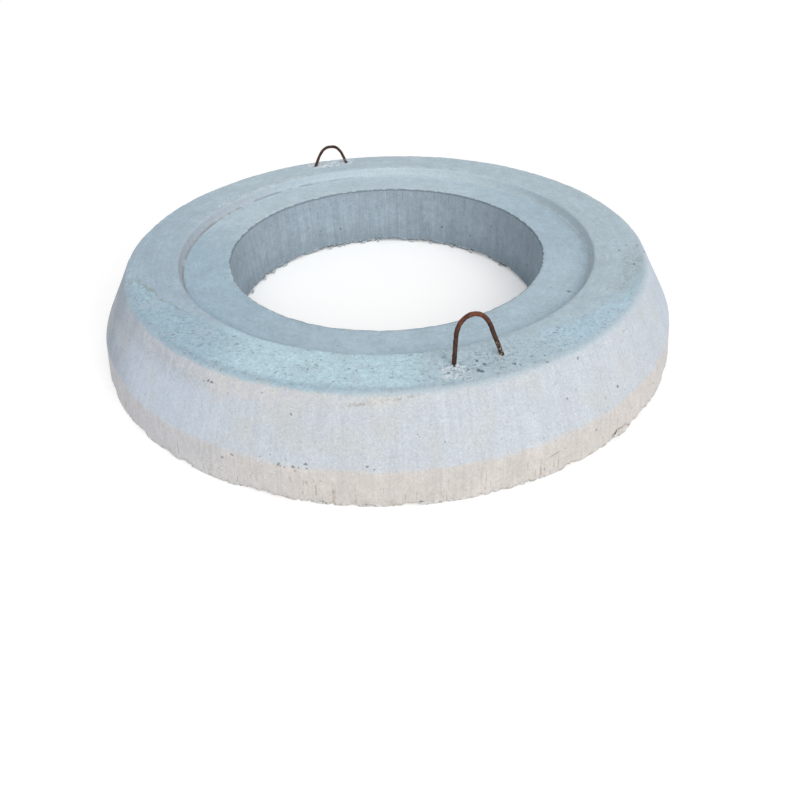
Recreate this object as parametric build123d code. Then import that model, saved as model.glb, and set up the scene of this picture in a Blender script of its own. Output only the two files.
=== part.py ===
from build123d import *
import os
from math import acos, atan2, cos, hypot, sin

# A precast concrete ring that spreads the load of a manhole frame on the ground round the shaft.
# It is one casting with a rebate for the frame in its top, a cone outside and two lifting loops
# of round wire cast in. The origin is the centre of the underside, +Z is up, the loops lie on Y.

# The casting
ringHeight = 150.0
boreRadius = 300.0
topRadius = 481.0  # where the top face would meet the cone
coneFootRadius = 540.0  # where the cone meets the foot band
bandHeight = 57.0
footRadius = 551.0
rebateRadius = 390.0
rebateFootRadius = 387.0
rebateDepth = 18.0

# Its edges: two are rounded in the mould, the others are bevelled or broken
topArris = 9.0
bandArris = 14.0
rebateBevel = 2.5
cornerBevel = 4.0
boreBevel = 2.0
footBevel = 3.0
boreFootBreak = 9.0

# The pocket pressed round each loop's feet
pocketLength = 116.0
pocketWidth = 44.0
pocketDepth = 8.0
pocketDraft = 30.0

# The lifting loops, each in the plane across the ring's radius
wireDiameter = 6.0
anchorDepth = 95.0
frontLoopRadius = 430.0
backLoopRadius = 452.0
frontLoop = dict(footSpread=74.0, crownShift=-11.5, crownHeight=52.0, crownRadius=25.0)
backLoop = dict(footSpread=76.0, crownShift=1.0, crownHeight=9.0, crownRadius=31.0)


def ringProfile():
    """Half section of the casting, from the bore outward, as radius and height."""
    seat = ringHeight - rebateDepth
    boreFoot = (boreRadius, 0)
    foot = (footRadius, 0)
    bandTop = (coneFootRadius, bandHeight)
    coneTop = (topRadius, ringHeight)
    rebateRim = (rebateRadius, ringHeight)
    rebateCorner = (rebateFootRadius, seat)
    boreTop = (boreRadius, seat)
    roundings = [(bandTop, bandArris), (coneTop, topArris)]
    bevels = [
        (boreFoot, boreFootBreak),
        (foot, footBevel),
        (rebateRim, rebateBevel),
        (rebateCorner, cornerBevel),
        (boreTop, boreBevel),
    ]
    with BuildSketch(Plane.XZ) as section:
        with BuildLine():
            Polyline(boreFoot, foot, bandTop, coneTop, rebateRim, rebateCorner, boreTop, close=True)
        make_face()
        for corner, radius in roundings:
            fillet(section.vertices().sort_by_distance(Vector(*corner))[0], radius)
        for corner, length in bevels:
            chamfer(section.vertices().sort_by_distance(Vector(*corner))[0], length)
    return section.sketch


def tangentPoint(foot, crown, radius, side):
    """Where the straight leg from a foot touches the crown's circle."""
    span = hypot(foot[0] - crown[0], foot[1] - crown[1])
    toFoot = atan2(foot[1] - crown[1], foot[0] - crown[0])
    turn = toFoot + side * acos(radius / span)
    return (crown[0] + radius * cos(turn), crown[1] + radius * sin(turn))


def liftingLoop(loopRadius, footSpread, crownShift, crownHeight, crownRadius):
    """One bent wire: two straight legs tangent to a round crown, running on down in the concrete."""
    crown = (crownShift, crownHeight)
    feet = [(-footSpread / 2, 0), (footSpread / 2, 0)]
    touch = [tangentPoint(foot, crown, crownRadius, side) for foot, side in zip(feet, (-1, 1))]
    frame = Plane(origin=(0, loopRadius, ringHeight), x_dir=(1, 0, 0), z_dir=(0, -1, 0))
    with BuildPart(frame) as loop:
        with BuildLine(frame) as path:
            top = (crownShift, crownHeight + crownRadius)
            for foot, end in zip(feet, touch):
                stretch = (end[1] + anchorDepth) / end[1]
                anchor = (end[0] + (foot[0] - end[0]) * stretch, -anchorDepth)
                Line(anchor, end)
            ThreePointArc(touch[0], top, touch[1])
        wire = path.wires()[0]
        with BuildSketch(Plane(origin=wire @ 0, z_dir=wire % 0)):
            Circle(wireDiameter / 2)
        sweep(path=wire)
    return loop.part


def concreteRing(loops):
    """The casting, with the pockets pressed in and the room that the wires take up."""
    with BuildPart() as ring:
        add(ringProfile())
        revolve(axis=Axis.Z)
        for y in (-frontLoopRadius, backLoopRadius):
            with BuildSketch(Plane.XY.offset(ringHeight)):
                with Locations((0, y)):
                    SlotOverall(pocketLength, pocketWidth)
            extrude(amount=-pocketDepth, taper=pocketDraft, mode=Mode.SUBTRACT)
        for loop in loops:
            add(loop, mode=Mode.SUBTRACT)
    return ring.part


os.makedirs("parts", exist_ok=True)
frontPiece = liftingLoop(-frontLoopRadius, **frontLoop)
backPiece = liftingLoop(backLoopRadius, **backLoop)
ringPiece = concreteRing([frontPiece, backPiece])

export_step(ringPiece, "parts/concrete_ring.step")
export_step(frontPiece, "parts/lifting_loop_front.step")
export_step(backPiece, "parts/lifting_loop_back.step")
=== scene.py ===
import math
import random

import bmesh
import bpy
from mathutils import Matrix, Vector, noise


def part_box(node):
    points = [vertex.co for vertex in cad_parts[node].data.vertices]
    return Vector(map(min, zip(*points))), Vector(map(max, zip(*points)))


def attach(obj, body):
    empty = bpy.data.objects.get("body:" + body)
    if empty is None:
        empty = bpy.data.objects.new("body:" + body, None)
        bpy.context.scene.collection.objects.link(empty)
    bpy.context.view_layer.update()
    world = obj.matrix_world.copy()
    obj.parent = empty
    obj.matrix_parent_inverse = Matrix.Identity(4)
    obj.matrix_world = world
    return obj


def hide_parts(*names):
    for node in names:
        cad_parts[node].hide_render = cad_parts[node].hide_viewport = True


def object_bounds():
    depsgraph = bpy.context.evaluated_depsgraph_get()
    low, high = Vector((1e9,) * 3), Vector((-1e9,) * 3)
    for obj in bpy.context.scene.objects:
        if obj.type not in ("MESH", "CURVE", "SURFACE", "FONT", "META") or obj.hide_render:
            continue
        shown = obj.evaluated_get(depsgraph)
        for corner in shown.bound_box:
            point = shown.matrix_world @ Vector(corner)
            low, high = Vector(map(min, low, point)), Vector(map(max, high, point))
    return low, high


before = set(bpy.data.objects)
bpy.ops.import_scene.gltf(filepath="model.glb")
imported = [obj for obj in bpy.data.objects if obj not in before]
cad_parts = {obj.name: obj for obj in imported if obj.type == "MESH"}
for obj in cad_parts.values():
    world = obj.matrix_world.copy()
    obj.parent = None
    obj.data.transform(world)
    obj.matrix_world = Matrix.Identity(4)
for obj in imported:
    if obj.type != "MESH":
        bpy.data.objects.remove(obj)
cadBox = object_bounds()
print("frame loaded:", ", ".join(sorted(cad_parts)))


# Small helpers for meshes

mergeWithin = 0.00001  # points nearer than this become one


def blendStep(low, high, value):
    share = min(1.0, max(0.0, (value - low) / (high - low)))
    return share * share * (3 - 2 * share)


def lumps(point, size, seed, octaves=3):  # about -1 to 1, with lumps of that size in metres
    spot = point / size + Vector((seed * 5.3, seed * 3.7, seed * 7.9))
    return noise.fractal(spot, 1.0, 2.0, octaves, noise_basis="PERLIN_ORIGINAL")


def polar(radius, degrees, height):  # degrees are counted from +X, as seen from above
    turn = math.radians(degrees)
    return Vector((radius * math.cos(turn), radius * math.sin(turn), height))


def finishPiece(name, bm, material, body="root"):
    bmesh.ops.recalc_face_normals(bm, faces=bm.faces)
    mesh = bpy.data.meshes.new(name)
    bm.to_mesh(mesh)
    bm.free()
    mesh.polygons.foreach_set("use_smooth", [True] * len(mesh.polygons))
    piece = bpy.data.objects.new(name, mesh)
    bpy.context.scene.collection.objects.link(piece)
    mesh.materials.append(material)
    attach(piece, body)
    triangles = sum(len(face.vertices) - 2 for face in mesh.polygons)
    print(name, "made:", triangles, "triangles")
    return piece


# Small helpers for materials

def tint(red, green, blue):  # a screen colour, 0 to 255, as the shader wants it
    channels = [value / 255 for value in (red, green, blue)]
    return tuple(c / 12.92 if c < 0.04045 else ((c + 0.055) / 1.055) ** 2.4 for c in channels) + (1.0,)


def feed(tree, socket, value):
    if isinstance(value, bpy.types.NodeSocket):
        tree.links.new(value, socket)
    else:
        socket.default_value = value


def addNode(tree, kind, inputs=None, **settings):
    made = tree.nodes.new(kind)
    for key, value in settings.items():
        setattr(made, key, value)
    for key, value in (inputs or {}).items():
        feed(tree, made.inputs[key], value)
    return made


def maths(tree, operation, a, b=0.0, c=0.0):
    return addNode(tree, "ShaderNodeMath", {0: a, 1: b, 2: c}, operation=operation).outputs[0]


def vectorMaths(tree, operation, inputs):
    return addNode(tree, "ShaderNodeVectorMath", inputs, operation=operation).outputs


def ramp(tree, value, low, high, toLow=0.0, toHigh=1.0):
    inputs = {"Value": value, "From Min": low, "From Max": high, "To Min": toLow, "To Max": toHigh}
    return addNode(tree, "ShaderNodeMapRange", inputs, interpolation_type="SMOOTHSTEP").outputs["Result"]


def grain(tree, vector, scale, detail=3.0, rough=0.55, warp=0.0):
    inputs = {"Vector": vector, "Scale": scale, "Detail": detail, "Roughness": rough, "Distortion": warp}
    return addNode(tree, "ShaderNodeTexNoise", inputs).outputs["Fac"]


def layer(tree, share, under, over):
    return addNode(tree, "ShaderNodeMix", {0: share, 6: under, 7: over}, data_type="RGBA").outputs[2]


def times(tree, *values):
    product = values[0]
    for value in values[1:]:
        product = maths(tree, "MULTIPLY", product, value)
    return product


def startMaterial(name):
    material = bpy.data.materials.new(name)
    material.use_nodes = True
    tree = material.node_tree
    tree.nodes.clear()
    place = addNode(tree, "ShaderNodeTexCoord").outputs["Object"]
    return material, tree, place


def endMaterial(tree, colour, roughness, bump, specular):
    inputs = {"Base Color": colour, "Roughness": roughness, "Specular IOR Level": specular, "Normal": bump}
    shader = addNode(tree, "ShaderNodeBsdfPrincipled", inputs)
    output = addNode(tree, "ShaderNodeOutputMaterial")
    tree.links.new(shader.outputs["BSDF"], output.inputs["Surface"])


def bumpFrom(tree, height, distance, strength=1.0):
    inputs = {"Height": height, "Distance": distance, "Strength": strength}
    return addNode(tree, "ShaderNodeBump", inputs).outputs["Normal"]


# Camera, light and floor

viewSettings = {
    "place": (-0.32497, -1.07285, 0.66312),
    "heading": -17.82,
    "downward": 39.446,
    "roll": -1.378,
    "lens": 27.692,
    "sensor": 36.0,
    "farthest": 100.0,
}


def placeCamera(settings):
    data = bpy.data.cameras.new("photoView")
    data.lens = settings["lens"]
    data.sensor_width = settings["sensor"]
    data.sensor_fit = "HORIZONTAL"
    data.clip_end = settings["farthest"]
    camera = bpy.data.objects.new("photoView", data)
    bpy.context.scene.collection.objects.link(camera)
    turn = Matrix.Rotation(math.radians(settings["heading"]), 4, "Z")
    turn @= Matrix.Rotation(math.radians(90 - settings["downward"]), 4, "X")
    turn @= Matrix.Rotation(math.radians(settings["roll"]), 4, "Z")
    camera.matrix_world = Matrix.Translation(settings["place"]) @ turn
    bpy.context.scene.camera = camera


lightSettings = {
    "sky": 0.50,
    "skyColour": (0.97, 0.985, 1.0),
    "sunStrength": 1.9,
    "sunColour": (1.0, 0.985, 0.96),
    "sunSoftness": 55.0,  # degrees across
    "sunFrom": -84.0,  # degrees round from +X
    "sunHeight": 43.0,
    "floorColour": (0.86, 0.86, 0.86, 1.0),
    "floorSize": 40.0,
    "floorLift": 0.25,  # makes the floor white for the camera alone
}


def placeLights(settings):
    world = bpy.data.worlds.new("studioSky")
    bpy.context.scene.world = world
    world.use_nodes = True
    tree = world.node_tree
    tree.nodes.clear()
    skyInputs = {"Color": (*settings["skyColour"], 1), "Strength": settings["sky"]}
    sky = addNode(tree, "ShaderNodeBackground", skyInputs)
    white = addNode(tree, "ShaderNodeBackground", {"Color": (1, 1, 1, 1), "Strength": 1.0})
    path = addNode(tree, "ShaderNodeLightPath")
    seen = maths(tree, "MAXIMUM", path.outputs["Is Camera Ray"], path.outputs["Is Glossy Ray"])
    seen = maths(tree, "MAXIMUM", seen, path.outputs["Is Transmission Ray"])
    either = addNode(tree, "ShaderNodeMixShader", {0: seen, 1: sky.outputs[0], 2: white.outputs[0]})
    output = addNode(tree, "ShaderNodeOutputWorld")
    tree.links.new(either.outputs[0], output.inputs["Surface"])

    lamp = bpy.data.lights.new("softSun", "SUN")
    lamp.energy = settings["sunStrength"]
    lamp.color = settings["sunColour"]
    lamp.angle = math.radians(settings["sunSoftness"])
    sun = bpy.data.objects.new("softSun", lamp)
    bpy.context.scene.collection.objects.link(sun)
    height = math.radians(settings["sunHeight"])
    towards = polar(math.cos(height), settings["sunFrom"], math.sin(height))
    sun.rotation_euler = towards.to_track_quat("Z", "Y").to_euler()


def placeFloor(settings):
    bm = bmesh.new()
    bmesh.ops.create_grid(bm, x_segments=1, y_segments=1, size=settings["floorSize"] / 2)
    mesh = bpy.data.meshes.new("floor")
    bm.to_mesh(mesh)
    bm.free()
    floor = bpy.data.objects.new("floor", mesh)
    bpy.context.scene.collection.objects.link(floor)
    material = bpy.data.materials.new("paleFloor")
    material.use_nodes = True
    tree = material.node_tree
    tree.nodes.clear()
    matt = addNode(tree, "ShaderNodeBsdfDiffuse", {"Color": settings["floorColour"]})
    path = addNode(tree, "ShaderNodeLightPath")
    lift = times(tree, path.outputs["Is Camera Ray"], settings["floorLift"])
    glow = addNode(tree, "ShaderNodeEmission", {"Color": (1, 1, 1, 1), "Strength": lift})
    both = addNode(tree, "ShaderNodeAddShader", {0: matt.outputs[0], 1: glow.outputs[0]})
    output = addNode(tree, "ShaderNodeOutputMaterial")
    tree.links.new(both.outputs[0], output.inputs["Surface"])
    mesh.materials.append(material)


bpy.context.scene.view_settings.view_transform = "Standard"
placeCamera(viewSettings)
placeLights(lightSettings)
placeFloor(lightSettings)
print("camera, light and floor ready")


# The concrete

concreteLook = {
    "coneFront": tint(197, 203, 210),
    # painted shade: the cone's sides, cooler and bluer than its sunlit front
    "coneSideShade": tint(194, 204, 217),
    # painted shade for the cone's far left, also the colour of the thin smear
    "coneShadeAndSmear": tint(166, 175, 187),
    "coneWarm": tint(206, 203, 204),
    # painted shade for the cone's back
    "coneBackShade": tint(186, 193, 200),
    "cream": tint(214, 209, 197),
    "coneStain": tint(199, 200, 197),
    "brown": tint(146, 132, 116),
    "bandFront": tint(207, 202, 198),
    # painted shade: the band's sides, cooler than its sunlit front
    "bandSideShade": tint(203, 203, 207),
    "topLeft": tint(168, 186, 200),
    "topRight": tint(180, 197, 207),
    "topBlue": tint(181, 208, 221),
    "topBright": tint(190, 216, 227),
    "topTeal": tint(151, 174, 189),
    "topPale": tint(188, 200, 208),
    "topGreen": tint(148, 160, 160),
    "topWet": tint(178, 205, 220),
    "seatLeft": tint(166, 188, 202),
    "seatRight": tint(186, 203, 213),
    "wall": tint(198, 212, 219),
    "wallBack": tint(186, 201, 210),
    "wallWarm": tint(183, 192, 201),
    # painted shade in the crease at the foot of the seat's wall
    "corner": tint(112, 112, 112),
    "bore": tint(160, 175, 187),
    "boreDark": tint(104, 118, 126),
    "pit": tint(88, 94, 99),
    "lime": tint(212, 219, 222),
    "crumb": tint(210, 219, 226),
    "underside": tint(190, 190, 188),
}

concretePits = [  # x, y, z and width across, in mm
    (-443, -53, 150, 5), (-429, -87, 150, 4), (-290, -287, 150, 6), (-235, -371, 150, 6),
    (-265, -369, 150, 5), (-206, -351, 150, 4), (-184, -390, 150, 4), (-171, -397, 150, 5),
    (-116, -389, 150, 4), (-95, -413, 150, 6), (-98, -447, 150, 5), (-90, -450, 150, 5),
    (-80, -408, 150, 6), (88, -470, 150, 6), (49, -464, 150, 7), (427, -200, 150, 9),
    (425, -225, 149, 10), (383, -206, 150, 7), (407, -193, 150, 8), (377, -262, 150, 9),
    (239, -279, 132, 11), (-242, 295, 132, 8), (-371, -323, 133, 7), (-366, -329, 132, 7),
    (-377, -318, 130, 5), (-302, -385, 137, 5), (-272, -421, 118, 6), (51, -511, 99, 6),
    (213, -480, 80, 8), (110, -501, 100, 6), (-100, 283, 68, 7), (-71, 291, 52, 6),
    (-23, 299, 46, 10), (205, 219, 48, 9), (279, 110, 84, 7), (278, 112, 71, 6),
    (298, -33, 52, 8), (253, 161, 42, 7), (160, -519, 40, 7), (154, -524, 33, 5),
    (62, -545, 14, 6), (-376, -391, 44, 8), (-361, -401, 54, 7), (-302, -446, 56, 8),
    (-294, -451, 54, 9), (-285, -457, 56, 8), (-276, -462, 58, 7), (-267, -468, 57, 5),
    (-190, -500, 65, 7), (67, -541, 33, 4), (-268, -465, 62, 6), (-10, -424, 150, 7),
    (-3, -432, 150, 12), (5, -442, 150, 9), (-11, -454, 149, 13), (-7, -458, 149, 10),
    (-17, -448, 149, 6), (44, -457, 150, 10), (93, -454, 150, 7), (-52, -446, 149, 8),
]

bubbleSizes = [  # cells a metre, share of cells without a bubble, width in cells and darkness
    (210.0, 0.930, 0.34, 0.55),
    (120.0, 0.960, 0.22, 0.8),
    (60.0, 0.975, 0.14, 0.9),
]
dentedBubbles = 1  # the bubbles of that row dent the surface too

mortarZones = [  # x, y, half length along x and reach of the mortar at the loops' feet
    (-0.042, -0.446, 0.002, 0.019),
    (0.037, -0.430, 0.0, 0.007),
    (0.0, 0.452, 0.034, 0.022),
]


def concreteMaterial(look, pits, bubbles, mortars):
    material, tree, place = startMaterial("castConcrete")
    split = addNode(tree, "ShaderNodeSeparateXYZ", {"Vector": place})
    x, y, z = split.outputs[0], split.outputs[1], split.outputs[2]
    flat = addNode(tree, "ShaderNodeCombineXYZ", {0: x, 1: y, 2: 0.0}).outputs[0]
    radius = vectorMaths(tree, "LENGTH", {0: flat})["Value"]
    turn = maths(tree, "ARCTAN2", x, maths(tree, "MULTIPLY", y, -1.0))  # from the front, + to the right
    turn = maths(tree, "MULTIPLY", turn, 180 / math.pi)
    cosine = maths(tree, "DIVIDE", x, radius)
    sine = maths(tree, "DIVIDE", y, radius)
    upright = {0: times(tree, cosine, 0.5), 1: times(tree, sine, 0.5), 2: times(tree, z, 0.05)}
    upright = addNode(tree, "ShaderNodeCombineXYZ", upright).outputs[0]
    hoop = {0: times(tree, cosine, 0.03), 1: times(tree, sine, 0.03), 2: radius}
    hoop = addNode(tree, "ShaderNodeCombineXYZ", hoop).outputs[0]

    def near(value, middle, half):  # 1 at the middle, 0 from that half width on
        return ramp(tree, maths(tree, "ABSOLUTE", maths(tree, "SUBTRACT", value, middle)), half, half * 0.3)

    def toned(colour, pattern, amount):  # darker and lighter with the pattern
        factor = maths(tree, "MULTIPLY_ADD", pattern, amount, 1.0 - amount / 2)
        return vectorMaths(tree, "SCALE", {0: colour, "Scale": factor})[0]

    # patterns
    cloud = grain(tree, place, 5.0, 3.0, 0.5)
    patches = grain(tree, place, 26.0, 4.0, 0.6)
    stains = grain(tree, place, 14.0, 4.0, 0.6, 0.6)
    curds = grain(tree, place, 85.0, 3.0, 0.6)
    worms = grain(tree, place, 190.0, 2.0, 0.55, 0.9)
    fine = grain(tree, place, 270.0, 2.0, 0.7)
    sand = grain(tree, place, 520.0, 1.0, 0.6)
    streak = grain(tree, upright, 190.0, 3.0, 0.6)
    streakWide = grain(tree, upright, 45.0, 3.0, 0.6)
    hoops = grain(tree, hoop, 210.0, 3.0, 0.6)
    wobbleInputs = {"Vector": place, "Scale": 170.0, "Detail": 2.0}
    wobble = addNode(tree, "ShaderNodeTexNoise", wobbleInputs).outputs["Color"]
    wobble = vectorMaths(tree, "SUBTRACT", {0: wobble, 1: (0.5, 0.5, 0.5)})[0]
    wobble = vectorMaths(tree, "SCALE", {0: wobble, "Scale": 0.008})[0]
    crooked = vectorMaths(tree, "ADD", {0: place, 1: wobble})[0]
    ragged = maths(tree, "MULTIPLY_ADD", curds, 0.008, maths(tree, "MULTIPLY_ADD", patches, 0.008, -0.008))
    raggedHeight = maths(tree, "ADD", z, ragged)
    raggedRadius = maths(tree, "ADD", radius, ragged)

    # zones
    softEdge = maths(tree, "MULTIPLY_ADD", worms, 0.006, maths(tree, "MULTIPLY_ADD", ragged, 0.8, -0.003))
    onTop = ramp(tree, maths(tree, "ADD", z, softEdge), 0.1432, 0.1496)
    onTop = maths(tree, "MAXIMUM", onTop, ramp(tree, radius, 0.477, 0.475))
    inSeat = times(tree, ramp(tree, radius, 0.3842, 0.3834), ramp(tree, z, 0.1300, 0.1310))
    inBore = times(tree, ramp(tree, radius, 0.3035, 0.3015), ramp(tree, z, 0.1322, 0.1312))
    inBore = maths(tree, "MAXIMUM", inBore, ramp(tree, maths(tree, "ADD", radius, z), 0.330, 0.318))
    onBand = times(tree, ramp(tree, raggedHeight, 0.0625, 0.0540), ramp(tree, radius, 0.45, 0.46))
    wallTop = maths(tree, "ADD", radius, maths(tree, "MULTIPLY_ADD", curds, 0.008, -0.004))
    onWall = times(tree, ramp(tree, wallTop, 0.3935, 0.3885), ramp(tree, radius, 0.3834, 0.3842))
    under = ramp(tree, z, 0.0010, 0.0003)
    right = ramp(tree, x, -0.44, -0.20)
    seatRight = ramp(tree, maths(tree, "MULTIPLY_ADD", x, 0.8, y), -0.20, 0.08)
    back = ramp(tree, maths(tree, "ABSOLUTE", turn), 85.0, 115.0)

    # cone, with painted shade on its sides, at its left edge and round its back
    sway = maths(tree, "MULTIPLY_ADD", cloud, 24.0, maths(tree, "MULTIPLY_ADD", patches, 10.0, -17.0))
    turnAbout = maths(tree, "ADD", turn, sway)
    offFront = maths(tree, "ABSOLUTE", turnAbout)
    # painted shade: the cone turns to its cooler side tone away from the front
    cone = layer(tree, ramp(tree, offFront, 30.0, 62.0), look["coneFront"], look["coneSideShade"])
    # painted shade: darker towards the cone's far left edge
    cone = layer(tree, ramp(tree, turnAbout, -66.0, -82.0), cone, look["coneShadeAndSmear"])
    # painted shade: the darker tone carried round the back
    cone = layer(tree, back, cone, look["coneBackShade"])
    underEdge = ramp(tree, maths(tree, "ADD", z, maths(tree, "MULTIPLY", ragged, 2.5)), 0.114, 0.134)
    leftSide = times(tree, ramp(tree, turn, -78.0, -62.0), ramp(tree, turn, -22.0, -44.0))
    cone = layer(tree, times(tree, underEdge, leftSide, 0.55), cone, look["coneWarm"])
    # painted shade: a darker patch on the upper cone near its left edge
    shadePatch = times(tree, near(turnAbout, -62.0, 18.0), near(raggedHeight, 0.138, 0.032))
    cone = layer(tree, times(tree, shadePatch, ramp(tree, curds, 0.3, 0.6), 0.5), cone, look["coneShadeAndSmear"])
    creamZone = times(tree, ramp(tree, turnAbout, -46.0, -36.0), ramp(tree, turnAbout, -4.0, -26.0))
    creamZone = times(tree, creamZone, ramp(tree, raggedHeight, 0.127, 0.141))
    cone = layer(tree, times(tree, creamZone, ramp(tree, patches, 0.36, 0.62), 0.48), cone, look["cream"])
    rise = maths(tree, "MULTIPLY_ADD", turn, -0.00095, maths(tree, "ADD", z, -0.0178))
    smudge = times(tree, near(rise, 0.1395, 0.0030), near(turn, -18.5, 8.0), ramp(tree, worms, 0.42, 0.60))
    cone = layer(tree, times(tree, smudge, 0.50), cone, look["brown"])
    smearLine = maths(tree, "MULTIPLY_ADD", turn, -0.0028, z)
    # a thin smear in the same grey
    smear = times(tree, near(turn, 10.6, 1.4), near(smearLine, 0.0925, 0.003))
    cone = layer(tree, times(tree, smear, ramp(tree, curds, 0.35, 0.6), 0.45), cone, look["coneShadeAndSmear"])
    cone = toned(cone, streak, 0.20)
    cone = toned(cone, streakWide, 0.14)
    cone = toned(cone, patches, 0.20)
    cone = layer(tree, times(tree, ramp(tree, stains, 0.50, 0.66), 0.4), cone, look["coneStain"])
    cone = toned(cone, curds, 0.12)
    cone = toned(cone, sand, 0.30)

    # band
    # painted shade: the band turns to its cooler side tone away from the front
    band = layer(tree, ramp(tree, offFront, 30.0, 58.0), look["bandFront"], look["bandSideShade"])
    band = toned(band, streak, 0.38)
    band = toned(band, patches, 0.26)
    band = toned(band, curds, 0.24)
    scratch = times(tree, ramp(tree, streak, 0.57, 0.66), ramp(tree, z, 0.050, 0.030))
    scratch = times(tree, scratch, ramp(tree, curds, 0.4, 0.6))
    band = layer(tree, times(tree, scratch, 0.55), band, look["brown"])
    crackLine = maths(tree, "MULTIPLY_ADD", turn, -0.0017, z)
    crack = times(tree, near(turn, 8.4, 1.5), near(crackLine, 0.0197, 0.0014))
    band = layer(tree, times(tree, crack, ramp(tree, fine, 0.35, 0.55), 0.6), band, look["pit"])
    brokenFoot = ramp(tree, raggedHeight, 0.0065, 0.0025)
    band = layer(tree, times(tree, brokenFoot, ramp(tree, worms, 0.50, 0.40), 0.45), band, look["brown"])
    band = layer(tree, times(tree, brokenFoot, ramp(tree, worms, 0.50, 0.60), 0.9), band, look["lime"])

    # top, smooth behind and roughened and blue in front
    smooth = layer(tree, right, look["topLeft"], look["topRight"])
    smooth = toned(smooth, hoops, 0.30)
    smooth = toned(smooth, patches, 0.34)
    smooth = toned(smooth, curds, 0.28)
    blue = layer(tree, near(turnAbout, -30.0, 26.0), look["topBlue"], look["topBright"])
    blue = layer(tree, ramp(tree, turnAbout, -20.0, -2.0, 0.0, 0.85), blue, look["topRight"])
    blue = layer(tree, ramp(tree, turnAbout, 8.0, 26.0, 0.0, 0.75), blue, look["topWet"])
    outerEdge = times(tree, ramp(tree, raggedRadius, 0.462, 0.476), ramp(tree, turn, 10.0, -20.0))
    blue = layer(tree, times(tree, outerEdge, 0.7), blue, look["topTeal"])
    blue = layer(tree, times(tree, near(turnAbout, -70.0, 34.0), 0.55), blue, look["topTeal"])
    blue = toned(blue, worms, 0.66)
    blue = toned(blue, curds, 0.36)
    blue = layer(tree, ramp(tree, patches, 0.45, 0.7, 0.0, 0.5), blue, look["topRight"])
    specks = times(tree, ramp(tree, worms, 0.38, 0.31), ramp(tree, patches, 0.36, 0.56))
    blue = layer(tree, times(tree, specks, 0.55), blue, look["pit"])
    inwards = maths(tree, "ADD", radius, -0.405)
    bend = maths(tree, "MULTIPLY_ADD", inwards, 3700.0, -640.0)
    leftLine = maths(tree, "MULTIPLY_ADD", inwards, bend, -64.0)  # where the blue ends on the left
    leftTide = maths(tree, "SUBTRACT", turn, maths(tree, "MULTIPLY_ADD", patches, 9.0, leftLine))
    leftTide = maths(tree, "ADD", leftTide, maths(tree, "MULTIPLY_ADD", worms, 7.0, 1.0))
    rightLine = maths(tree, "MULTIPLY_ADD", radius, 640.0, -246.0)
    rightTide = maths(tree, "MULTIPLY_ADD", patches, 30.0, rightLine)
    rightTide = maths(tree, "SUBTRACT", rightTide, maths(tree, "ADD", turn, 15.0))
    wetFront = times(tree, ramp(tree, leftTide, -2.0, 2.5), ramp(tree, rightTide, -6.0, 8.0))
    top = layer(tree, wetFront, smooth, blue)
    paleEdge = times(tree, ramp(tree, raggedRadius, 0.466, 0.480), ramp(tree, turnAbout, -34.0, -14.0))
    top = layer(tree, times(tree, paleEdge, 0.75), top, look["topPale"])
    tideLine = times(tree, near(leftTide, 0.3, 1.5), ramp(tree, curds, 0.36, 0.52))
    tideLine = times(tree, tideLine, ramp(tree, radius, 0.408, 0.422))
    top = layer(tree, times(tree, tideLine, 0.75), top, look["topGreen"])
    stain = times(tree, near(turnAbout, 52.0, 15.0), near(radius, 0.455, 0.028))
    stain = times(tree, stain, ramp(tree, worms, 0.40, 0.62))
    top = layer(tree, times(tree, stain, 0.55), top, look["topGreen"])
    streakBeside = times(tree, near(turn, -47.0, 18.0), near(radius, 0.397, 0.012))
    top = layer(tree, times(tree, streakBeside, 0.6), top, look["topBright"])
    limeEdge = times(tree, near(maths(tree, "ABSOLUTE", turn), 150.0, 32.0), near(radius, 0.399, 0.011))
    top = layer(tree, times(tree, limeEdge, ramp(tree, curds, 0.44, 0.60), 0.40), top, look["lime"])

    # seat, the wall round it and the bore
    seat = layer(tree, seatRight, look["seatLeft"], look["seatRight"])
    seat = layer(tree, times(tree, near(turn, 5.0, 75.0), 0.45), seat, look["seatRight"])
    seat = layer(tree, times(tree, near(turn, 85.0, 55.0), 0.7), seat, look["seatLeft"])
    seat = toned(seat, hoops, 0.20)
    seat = toned(seat, patches, 0.40)
    seat = toned(seat, curds, 0.26)
    damp = times(tree, near(turnAbout, -45.0, 45.0), near(radius, 0.381, 0.018))
    seat = layer(tree, times(tree, damp, 0.4), seat, look["topTeal"])
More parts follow.
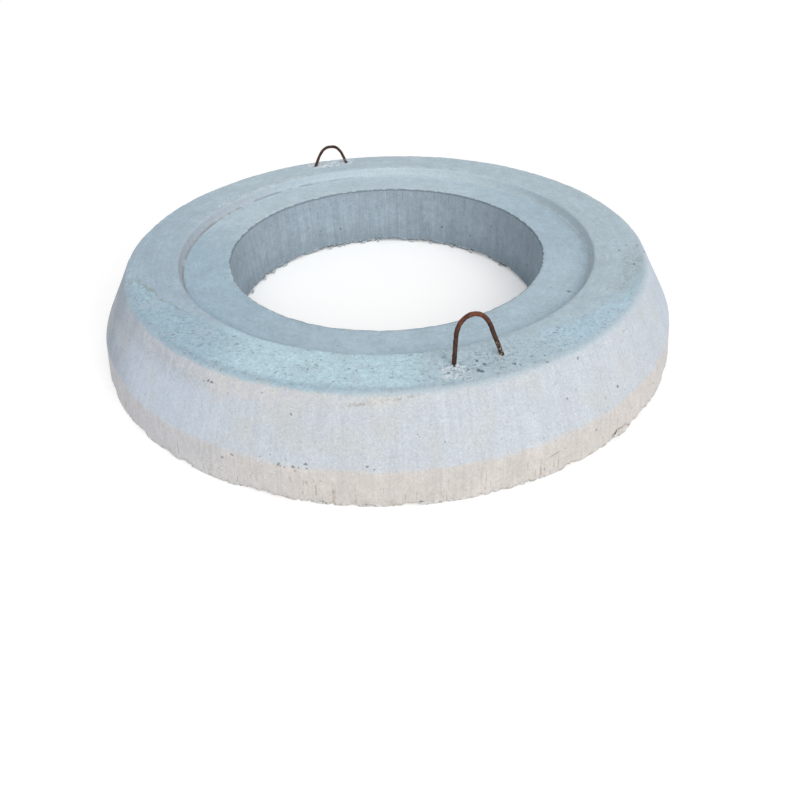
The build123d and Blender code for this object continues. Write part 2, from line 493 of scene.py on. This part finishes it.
    # painted shade: a dark line in the crease where the wall meets the seat, stronger to the left
    corner = times(tree, near(radius, 0.3856, 0.0028), ramp(tree, patches, 0.34, 0.56))
    corner = times(tree, corner, ramp(tree, x, -0.10, 0.12, 1.0, 0.4))
    wall = layer(tree, ramp(tree, x, -0.15, 0.15), look["wallBack"], look["wall"])
    leftWall = ramp(tree, maths(tree, "ABSOLUTE", maths(tree, "ADD", turn, 110.0)), 55.0, 25.0)
    wall = layer(tree, leftWall, wall, look["wallWarm"])
    wall = toned(wall, curds, 0.2)
    bore = toned(look["bore"][:3], streak, 0.50)
    bore = toned(bore, streakWide, 0.30)
    bore = toned(bore, patches, 0.42)
    bore = toned(bore, curds, 0.46)
    bore = layer(tree, ramp(tree, z, 0.075, 0.010, 0.0, 0.30), bore, look["boreDark"])
    drips = times(tree, ramp(tree, streak, 0.58, 0.66), ramp(tree, z, 0.045, 0.125), near(turn, 120.0, 75.0))
    bore = layer(tree, times(tree, drips, 0.60), bore, look["boreDark"])
    rimHeight = maths(tree, "ADD", z, maths(tree, "MULTIPLY", ragged, 0.6))
    rimLine = times(tree, ramp(tree, rimHeight, 0.1262, 0.1292), 0.65)
    bore = layer(tree, rimLine, bore, look["boreDark"])
    nicked = times(tree, near(radius, 0.3005, 0.0035), ramp(tree, z, 0.1295, 0.1315))
    nicked = times(tree, nicked, ramp(tree, curds, 0.48, 0.60))
    brokenRim = times(tree, ramp(tree, raggedHeight, 0.014, 0.006), ramp(tree, worms, 0.46, 0.58))
    bore = layer(tree, times(tree, brokenRim, 0.85), bore, look["lime"])

    colour = layer(tree, onBand, cone, band)
    colour = layer(tree, onTop, colour, top)
    colour = layer(tree, onWall, colour, wall)
    colour = layer(tree, inSeat, colour, seat)
    colour = layer(tree, times(tree, corner, 0.55), colour, look["corner"])
    colour = layer(tree, inBore, colour, bore)
    colour = layer(tree, times(tree, nicked, 0.6), colour, look["lime"])
    colour = layer(tree, under, colour, look["underside"])
    colour = toned(colour, fine, 0.45)

    # rough mortar round the feet of the loops
    mortar = 0.0
    for side, middle, half, edge in mortars:
        along = maths(tree, "ABSOLUTE", maths(tree, "ADD", x, -side))
        along = maths(tree, "MAXIMUM", maths(tree, "ADD", along, -half), 0.0)
        across = maths(tree, "ADD", y, -middle)
        squares = maths(tree, "ADD", times(tree, along, along), times(tree, across, across))
        reach = maths(tree, "SQRT", squares)
        reach = maths(tree, "ADD", reach, maths(tree, "MULTIPLY", ragged, 1.6))
        mortar = maths(tree, "MAXIMUM", ramp(tree, reach, edge + 0.004, edge - 0.004), mortar)
    mortar = times(tree, mortar, ramp(tree, z, 0.136, 0.140))
    grit = grain(tree, place, 120.0, 3.0, 0.7, 0.5)
    colour = layer(tree, times(tree, mortar, ramp(tree, grit, 0.45, 0.54)), colour, look["crumb"])
    colour = layer(tree, times(tree, mortar, ramp(tree, grit, 0.38, 0.33), 0.9), colour, look["pit"])
    proud = times(tree, ramp(tree, z, 0.1503, 0.1512), 0.85)
    colour = layer(tree, proud, colour, look["crumb"])
    boreFlakes = times(tree, ramp(tree, radius, 0.3001, 0.2991), ramp(tree, z, 0.013, 0.010))
    flakes = maths(tree, "MAXIMUM", ramp(tree, radius, 0.5515, 0.5528), times(tree, boreFlakes, 0.5))
    colour = layer(tree, times(tree, flakes, 0.85), colour, look["lime"])

    # pits left by air bubbles
    pitShare = 0.0
    holes = []
    for scale, keep, size, strength in bubbles:
        cells = addNode(tree, "ShaderNodeTexVoronoi", {"Vector": crooked, "Scale": scale, "Randomness": 1.0})
        pick = addNode(tree, "ShaderNodeSeparateColor", {0: cells.outputs["Color"]}).outputs[0]
        hole = ramp(tree, cells.outputs["Distance"], size, size * 0.4)
        chosen = ramp(tree, pick, keep - 0.012, keep + 0.012)
        hole = times(tree, hole, chosen, ramp(tree, patches, 0.38, 0.56), strength)
        pitShare = maths(tree, "MAXIMUM", hole, pitShare)
        holes.append(hole)
    for along, across, height, width in pits:
        spot = (along / 1000, across / 1000, height / 1000)
        away = vectorMaths(tree, "DISTANCE", {0: crooked, 1: spot})["Value"]
        dark = min(1.0, 0.60 + width / 30)
        hole = times(tree, ramp(tree, away, width / 2500, width / 5500), dark)
        pitShare = maths(tree, "MAXIMUM", hole, pitShare)
    colour = layer(tree, times(tree, pitShare, 0.85), colour, look["pit"])

    # relief
    relief = maths(tree, "MULTIPLY_ADD", fine, 0.30, times(tree, worms, 0.50))
    relief = maths(tree, "SUBTRACT", relief, times(tree, holes[dentedBubbles], 1.4))
    bump = bumpFrom(tree, relief, 0.0010, strength=0.7)
    endMaterial(tree, colour, ramp(tree, patches, 0.3, 0.7, 0.82, 0.95), bump, specular=0.25)
    return material


# The casting

ringSizes = {
    "section": [  # radius, height, size of the corner's round or bevel
        (0.309, 0.000, 0.0),
        (0.551, 0.000, 0.003),
        (0.540, 0.057, 0.014),
        (0.481, 0.150, 0.009),
        (0.390, 0.150, 0.0025),
        (0.387, 0.132, 0.004),
        (0.300, 0.132, 0.002),
        (0.300, 0.009, 0.0),
    ],
    "steps": 600,
    "rowLength": 0.0068,
    "undersideRow": 0.040,
    "undersideFrom": 0.33,
    "undersideTo": 0.545,
    "footHeight": 0.0125,
    "finerRadii": ((0.530, 0.560), (0.290, 0.318)),  # where the broken feet are
    "finerRise": 0.004,
    "bandFoot": (0.535, 0.547),  # radii between which the break of the band begins
    "boreFoot": (0.318, 0.308),
    "boreReach": 0.316,
    "wornTop": (0.480, 0.149, 0.012),  # radius, height and reach of each worn edge
    "wornSeat": (0.390, 0.150, 0.006),
    "wornBore": (0.300, 0.132, 0.005),
    "frontPocket": -0.430,
    "backPocket": 0.452,
    "pocketLength": 0.116,
    "pocketWidth": 0.044,
    "pocketDepth": 0.008,
    "pocketCuts": 4,
    "pocketField": (0.074, 0.034),  # half the length and width of the finer mesh
    "pocketFrom": 0.1495,
    "heap": (-0.047, -0.444),  # middle of the mortar heaped at the front loop's left foot
    "heapReach": (0.036, 0.020),
    "crumbHeight": 0.1490,
    "crumbFlatness": 0.75,
    "curl": ((-0.032, -0.468, 0.1502), 0.0052, 0.0011),  # middle, radius and thickness
    "waviness": 0.0006,
    "seed": 11,
}

footFlakes = [  # radius, degrees, height, and its half length, thickness and height, in mm
    (549, -118.3, 3, 7, 2.0, 3.0),
    (549, -111.6, 2, 6, 2.0, 3.0),
    (549, -102.7, 3, 7, 2.0, 3.0),
    (549, -132.5, 3, 6, 2.0, 3.0),
    (549, -122.2, 2, 5, 1.6, 2.5),
    (550, -66.5, 8, 22, 3.6, 8.0),
    (300, 99.7, 4, 6, 1.8, 3.0),
    (300, 95.3, 4, 4, 1.8, 3.0),
    (299, 93.0, 5, 2, 1.8, 4.5),
    (300, 84.0, 4, 6, 2.0, 3.0),
    (299, 77.0, 5, 2, 1.8, 4.5),
    (300, 61.0, 4, 6, 1.8, 3.0),
    (299, 52.0, 5, 3, 1.8, 4.0),
    (300, 41.5, 5, 5, 1.8, 3.5),
    (300, 31.9, 5, 6, 2.0, 4.0),
    (300, 14.0, 4, 6, 1.8, 3.0),
    (300, 125.0, 5, 6, 2.0, 4.0),
    (299, 132.6, 6, 6, 2.0, 4.5),
    (300, 139.0, 4, 5, 2.0, 3.0),
    (300, 150.0, 4, 6, 2.0, 3.5),
]

crumbHeaps = [  # middle of each heap in mm, its spread, how many crumbs and how large
    (-50, -437, 6, 14, 3.6),
    (-58, -452, 5, 10, 3.4),
    (-45, -457, 6, 12, 3.4),
    (-36, -462, 3, 4, 3.0),
    (-38, -437, 3, 9, 3.4),
    (-28, -446, 5, 6, 2.4),
    (-8, -440, 14, 9, 1.7),
    (17, -431, 7, 12, 2.3),
    (37, -438, 4, 6, 1.8),
    (437, -88, 1, 2, 2.2),
    (-20, 452, 18, 18, 2.8),
    (22, 450, 16, 14, 2.6),
]


def roundCorners(bm, corners, sizes):
    offsets = []
    for index, vertex in enumerate(corners):
        size = sizes["section"][index][2]
        if size == 0:
            continue
        before = vertex.co - corners[index - 1].co
        after = corners[(index + 1) % len(corners)].co - vertex.co
        rounded = size > 0.008  # the smaller ones are bevels
        offset = size * math.tan(before.angle(after) / 2) if rounded else size * 0.8
        offsets.append((vertex, offset, 4 if rounded else 2))
    for vertex, offset, segments in offsets:
        bmesh.ops.bevel(
            bm, geom=[vertex], offset=offset, offset_type="OFFSET",
            segments=segments, profile=0.5, affect="VERTICES", material=-1,
        )


def spinSection(sizes):
    bm = bmesh.new()
    corners = [bm.verts.new((radius, 0, height)) for radius, height, size in sizes["section"]]
    for index, vertex in enumerate(corners):
        bm.edges.new((vertex, corners[(index + 1) % len(corners)]))
    roundCorners(bm, corners, sizes)
    for edge in list(bm.edges):
        middle = (edge.verts[0].co + edge.verts[1].co) / 2
        flat = middle.z < 0.0005 and sizes["undersideFrom"] < middle.x < sizes["undersideTo"]
        row = sizes["undersideRow"] if flat else sizes["rowLength"]
        pieces = math.ceil(edge.calc_length() / row)
        if pieces > 1:
            bmesh.ops.subdivide_edges(bm, edges=[edge], cuts=pieces - 1)
    bmesh.ops.spin(
        bm, geom=bm.verts[:] + bm.edges[:], cent=(0, 0, 0), axis=(0, 0, 1),
        steps=sizes["steps"], angle=2 * math.pi, use_merge=True,
    )
    bmesh.ops.remove_doubles(bm, verts=bm.verts, dist=mergeWithin)
    bmesh.ops.recalc_face_normals(bm, faces=bm.faces)
    return bm


def refineFeet(bm, sizes):  # the broken edges need a finer mesh
    highest = sizes["footHeight"] + sizes["finerRise"]
    for nearest, furthest in sizes["finerRadii"]:
        chosen = [
            e for e in bm.edges
            if all(v.co.z < highest and nearest < v.co.xy.length < furthest for v in e.verts)
        ]
        bmesh.ops.subdivide_edges(bm, edges=chosen, cuts=1, use_grid_fill=True)
    print("feet refined:", len(bm.faces), "faces")


def pocketReach(point, middle, sizes):  # distance outside the pocket's outline, below 0 inside it
    along = max(0.0, abs(point.x) - (sizes["pocketLength"] - sizes["pocketWidth"]) / 2)
    return math.hypot(along, point.y - middle) - sizes["pocketWidth"] / 2


def refinePockets(bm, sizes):
    halfLength, halfWidth = sizes["pocketField"]
    for middle in (sizes["frontPocket"], sizes["backPocket"]):
        chosen = [
            e for e in bm.edges
            if min(v.co.z for v in e.verts) > sizes["pocketFrom"]
            and all(abs(v.co.x) < halfLength and abs(v.co.y - middle) < halfWidth for v in e.verts)
        ]
        bmesh.ops.subdivide_edges(bm, edges=chosen, cuts=sizes["pocketCuts"], use_grid_fill=True)
    print("pockets refined:", len(bm.faces), "faces")


def wearAt(radius, height, edge):  # 1 at the worn edge, 0 from its reach on
    edgeRadius, edgeHeight, reach = edge
    return blendStep(reach, 0.0, math.hypot(radius - edgeRadius, height - edgeHeight))


def shapeSurface(bm, sizes):
    bm.normal_update()
    moves = []
    foot = sizes["footHeight"]
    wavy = sizes["waviness"]
    breakFrom, breakTo = sizes["bandFoot"]
    for vertex in bm.verts:
        place = vertex.co.copy()
        radius = math.hypot(place.x, place.y)
        outward = Vector((place.x / radius, place.y / radius, 0))
        move = Vector()
        if place.z > 0.0015:
            swell = lumps(place, 0.13, 1, 2) * wavy + lumps(place, 0.03, 2, 2) * wavy * 0.5
            move += vertex.normal * (swell - wavy * 0.6)
        # broken foot of the band
        if radius > breakFrom and place.z < foot:
            bite = max(0.0, lumps(place, 0.040, 3, 2) - 0.05) * 0.0045
            bite += max(0.0, lumps(place, 0.009, 13, 4) + 0.05) * 0.0048
            move -= outward * bite * blendStep(foot, 0.0, place.z)
            move.z += bite * 0.9 * blendStep(foot, 0.0, place.z) * blendStep(breakFrom, breakTo, radius)
        # broken foot of the bore
        if radius < sizes["boreReach"] and place.z < foot + 0.003:
            bite = lumps(place, 0.030, 4, 3) * 0.0045 + lumps(place, 0.009, 14, 3) * 0.0030 + 0.001
            reach = blendStep(foot + 0.003, 0.003, place.z)
            move += outward * max(-0.002, bite) * reach * 0.7
            move.z += max(0.0, bite) * reach * blendStep(*sizes["boreFoot"], radius)
        # worn edges of the top, of the seat and of the bore
        wear = wearAt(radius, place.z, sizes["wornTop"])
        if wear > 0:
            loss = max(0.0, lumps(place, 0.016, 5, 4) - 0.02) * 0.0018
            move -= (outward * 0.6 + Vector((0, 0, 0.8))) * loss * wear
        wear = wearAt(radius, place.z, sizes["wornSeat"])
        wear = max(wear, wearAt(radius, place.z, sizes["wornBore"]))
        if wear > 0:
            move.z -= max(0.0, lumps(place, 0.014, 6, 4) + 0.05) * 0.0016 * wear
        # crumbly mortar in the pockets
        if place.z > 0.149:
            for middle, seed in ((sizes["frontPocket"], 7), (sizes["backPocket"], 8)):
                if abs(place.y - middle) > 0.04 or abs(place.x) > 0.08:
                    continue
                reach = pocketReach(place, middle, sizes) + lumps(place, 0.016, seed, 3) * 0.004
                inside = blendStep(0.002, -0.007, reach)
                heapAway = math.hypot(place.x - sizes["heap"][0], place.y - sizes["heap"][1])
                heap = blendStep(*sizes["heapReach"], heapAway)
                rough = max(heap, 0.25) if middle < 0 else 0.8
                fill = 0.0072 + lumps(place, 0.03, seed + 2, 2) * 0.0008
                crumbs = lumps(place, 0.010, seed + 4, 4) * 0.0034
                crumbs += lumps(place, 0.0035, seed + 6, 2) * 0.0010
                move.z += inside * (-sizes["pocketDepth"] + fill + crumbs * rough)
        moves.append(move)
    for vertex, move in zip(bm.verts, moves):
        vertex.co += move


def keepInBox(bm, cadBox):
    lowest, highest = Vector(cadBox[0]), Vector(cadBox[1])
    for vertex in bm.verts:
        for axis in range(3):
            vertex.co[axis] = min(max(vertex.co[axis], lowest[axis]), highest[axis])


def addCrumb(bm, place, size, flatness, seed):
    made = bmesh.ops.create_icosphere(bm, subdivisions=2, radius=1.0)["verts"]
    chance = random.Random(seed)
    stretch = Vector((
        chance.uniform(0.7, 1.3), chance.uniform(0.7, 1.3), chance.uniform(0.6, 1.0) * flatness,
    ))
    spin = Matrix.Rotation(chance.uniform(0, math.pi), 3, "Z")
    for vertex in made:
        bulge = 1 + 0.45 * lumps(vertex.co, 0.9, seed, 3)
        shape = Vector((vertex.co.x * stretch.x, vertex.co.y * stretch.y, vertex.co.z * stretch.z))
        vertex.co = place + spin @ (shape * bulge * size)


def addCrumbs(bm, sizes, heaps):
    chance = random.Random(sizes["seed"])
    for heap, (along, across, spread, count, size) in enumerate(heaps):
        narrow = 0.45 if spread > 12 else 0.9  # wide heaps lie along the pocket
        for index in range(count):
            place = Vector((chance.gauss(along, spread), chance.gauss(across, spread * narrow), 0)) / 1000
            place.z = sizes["crumbHeight"]
            crumbSize = chance.uniform(0.35, 1.0) * size / 1000
            addCrumb(bm, place, crumbSize, sizes["crumbFlatness"], 100 * heap + index)
    print("crumbs added")


def addCurl(bm, middle, wide, thick):  # a burr of mortar that curls round
    start = Matrix.Translation((wide, 0, 0)) @ Matrix.Rotation(math.pi / 2, 4, "X")
    made = bmesh.ops.create_circle(bm, segments=8, radius=thick, matrix=start)["verts"]
    edges = [e for e in bm.edges if e.verts[0] in made and e.verts[1] in made]
    before = set(bm.verts) - set(made)
    bmesh.ops.spin(
        bm, geom=made + edges, cent=(0, 0, 0), axis=(0, 0, 1),
        steps=26, angle=2 * math.pi, use_merge=True,
    )
    for vertex in set(bm.verts) - before:
        swell = 1 + 0.25 * lumps(vertex.co, 0.004, 61, 2)
        shape = Vector((vertex.co.x * swell, vertex.co.y * 0.75 * swell, vertex.co.z * swell))
        vertex.co = shape + Vector(middle)
    print("curl added")


def addFlakes(bm, flakes):
    for seed, (radius, degrees, height, long, thick, tall) in enumerate(flakes):
        made = bmesh.ops.create_icosphere(bm, subdivisions=3, radius=1.0)["verts"]
        chance = random.Random(seed)
        turned = Matrix.Rotation(math.radians(degrees + 90), 3, "Z")
        turned @= Matrix.Rotation(chance.uniform(-0.35, 0.35), 3, "Y")
        middle = polar(radius / 1000, degrees, height / 1000)
        for vertex in made:
            rough = lumps(vertex.co, 0.7, seed + 40, 3)
            bulge = 1 + 0.8 * rough
            curl = 0.3 * vertex.co.x * vertex.co.x * thick
            along = vertex.co.x * long * (1 + 0.5 * rough)
            across = vertex.co.y * thick * 0.6 * bulge - curl
            shape = Vector((along, across, vertex.co.z * tall * 0.75 * bulge))
            vertex.co = middle + turned @ shape / 1000
    print("flakes added")


def makeRing(sizes, material):
    bm = spinSection(sizes)
    print("section spun:", len(bm.faces), "faces")
    refineFeet(bm, sizes)
    refinePockets(bm, sizes)
    shapeSurface(bm, sizes)
    addCrumbs(bm, sizes, crumbHeaps)
    addCurl(bm, *sizes["curl"])
    addFlakes(bm, footFlakes)
    keepInBox(bm, cadBox)
    ring = finishPiece("castRing", bm, material)
    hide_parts("concrete_ring")


# The lifting loops

loopSizes = {
    "wire": 0.006,
    "anchorDepth": 0.095,
    "sides": 14,
    "stepsBetween": 14,  # along the wire, from one point of its route to the next
    "topHeight": 0.150,
    "scaleSize": 0.006,  # of the lumps of rust
    "scaleDepth": 0.00035,
    "front": {
        "place": -0.430,
        "route": [  # x and height over the top in mm
            (-37.0, 0), (-36.7, 20), (-36.3, 40), (-34.3, 58), (-27.5, 70.5), (-17, 76.4),
            (-6.5, 76.0), (4, 69.6), (12.5, 58), (19.5, 42), (27, 24), (37.0, 0),
        ],
    },
    "back": {
        "place": 0.452,
        "route": [
            (-37.0, 0), (-31, 13), (-22.5, 27), (-11, 37.4), (2, 40.0),
            (15, 37.4), (25.5, 28), (33, 13.5), (39.0, 0),
        ],
    },
}

rustLook = {
    "core": tint(50, 37, 33),
    "brown": tint(77, 54, 45),
    "orange": tint(116, 68, 49),
    # orange rust, and bright as the painted highlight; both grow towards the crown
    "bright": tint(148, 93, 66),
    "mortar": tint(196, 184, 166),
}

rustZones = {  # heights where the painted highlight on the crown starts and is full, its share, and how far the mortar goes; the back loop's small share makes it a shaded copy
    "front": (0.200, 0.228, 0.95, -0.145),
    "back": (0.150, 0.190, 0.12, -0.118),
}


def rustMaterial(name, look, highlightFrom, highlightTo, highlightShare, smearTo):
    material, tree, place = startMaterial(name)
    split = addNode(tree, "ShaderNodeSeparateXYZ", {"Vector": place})
    x, z = split.outputs[0], split.outputs[2]
    patches = grain(tree, place, 95.0, 4.0, 0.6)
    scale = grain(tree, place, 480.0, 4.0, 0.7)
    spots = grain(tree, place, 210.0, 3.0, 0.6)
    colour = layer(tree, ramp(tree, patches, 0.38, 0.62), look["core"], look["brown"])
    # partly orange rust, partly painted highlight: lighter towards the crown, by height
    crownHighlight = ramp(tree, z, highlightFrom, highlightTo, 0.15, highlightShare)
    colour = layer(tree, times(tree, crownHighlight, ramp(tree, spots, 0.34, 0.56)), colour, look["orange"])
    colour = layer(tree, times(tree, crownHighlight, ramp(tree, scale, 0.55, 0.7), 0.7), colour, look["bright"])
    smear = maths(tree, "MULTIPLY_ADD", x, 0.9, maths(tree, "MULTIPLY", z, -1.0))  # on the right leg
    smear = ramp(tree, smear, smearTo - 0.015, smearTo)
    smear = times(tree, smear, ramp(tree, spots, 0.50, 0.62), 0.65)
    colour = layer(tree, smear, colour, look["mortar"])
    bump = bumpFrom(tree, maths(tree, "MULTIPLY_ADD", scale, 0.6, patches), 0.0005)
    endMaterial(tree, colour, ramp(tree, scale, 0.3, 0.7, 0.7, 0.95), bump, specular=0.3)
    return material


def makeLoop(name, node, sizes, path, material):
    curve = bpy.data.curves.new(name, "CURVE")
    curve.dimensions = "3D"
    curve.bevel_depth = sizes["wire"] / 2
    curve.bevel_resolution = sizes["sides"] // 2 - 2
    curve.use_fill_caps = True
    curve.resolution_u = sizes["stepsBetween"]
    spline = curve.splines.new("BEZIER")
    points = [(along / 1000, height / 1000) for along, height in path["route"]]
    depth = sizes["anchorDepth"]
    first = (points[0][0] - (points[1][0] - points[0][0]) / points[1][1] * depth, -depth)
    last = (points[-1][0] + (points[-1][0] - points[-2][0]) / points[-2][1] * depth, -depth)
    points = [first] + points + [last]
    spline.bezier_points.add(len(points) - 1)
    for knot, (along, height) in zip(spline.bezier_points, points):
        knot.co = (along, path["place"], sizes["topHeight"] + height)
        knot.handle_left_type = knot.handle_right_type = "AUTO"
    holder = bpy.data.objects.new(name + "Line", curve)
    bpy.context.scene.collection.objects.link(holder)
    bpy.context.view_layer.update()
    wire = bpy.data.meshes.new_from_object(holder)
    bpy.data.objects.remove(holder)
    bm = bmesh.new()
    bm.from_mesh(wire)
    bpy.data.meshes.remove(wire)
    bmesh.ops.remove_doubles(bm, verts=bm.verts, dist=mergeWithin)
    bmesh.ops.recalc_face_normals(bm, faces=bm.faces)
    bm.normal_update()
    rise = sizes["scaleDepth"]
    moves = [v.normal * (lumps(v.co, sizes["scaleSize"], 31, 4) * rise + rise) for v in bm.verts]
    for vertex, move in zip(bm.verts, moves):
        vertex.co += move
    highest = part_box(node)[1].z
    for vertex in bm.verts:
        vertex.co.z = min(vertex.co.z, highest)
    piece = finishPiece(name, bm, material)
    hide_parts(node)


concrete = concreteMaterial(concreteLook, concretePits, bubbleSizes, mortarZones)
makeRing(ringSizes, concrete)

# the back loop's copy has little of the crown's painted highlight, so it reads as shaded
frontRust = rustMaterial("frontRust", rustLook, *rustZones["front"])
backRust = rustMaterial("backRust", rustLook, *rustZones["back"])
makeLoop("frontLoop", "lifting_loop_front", loopSizes, loopSizes["front"], frontRust)
makeLoop("backLoop", "lifting_loop_back", loopSizes, loopSizes["back"], backRust)
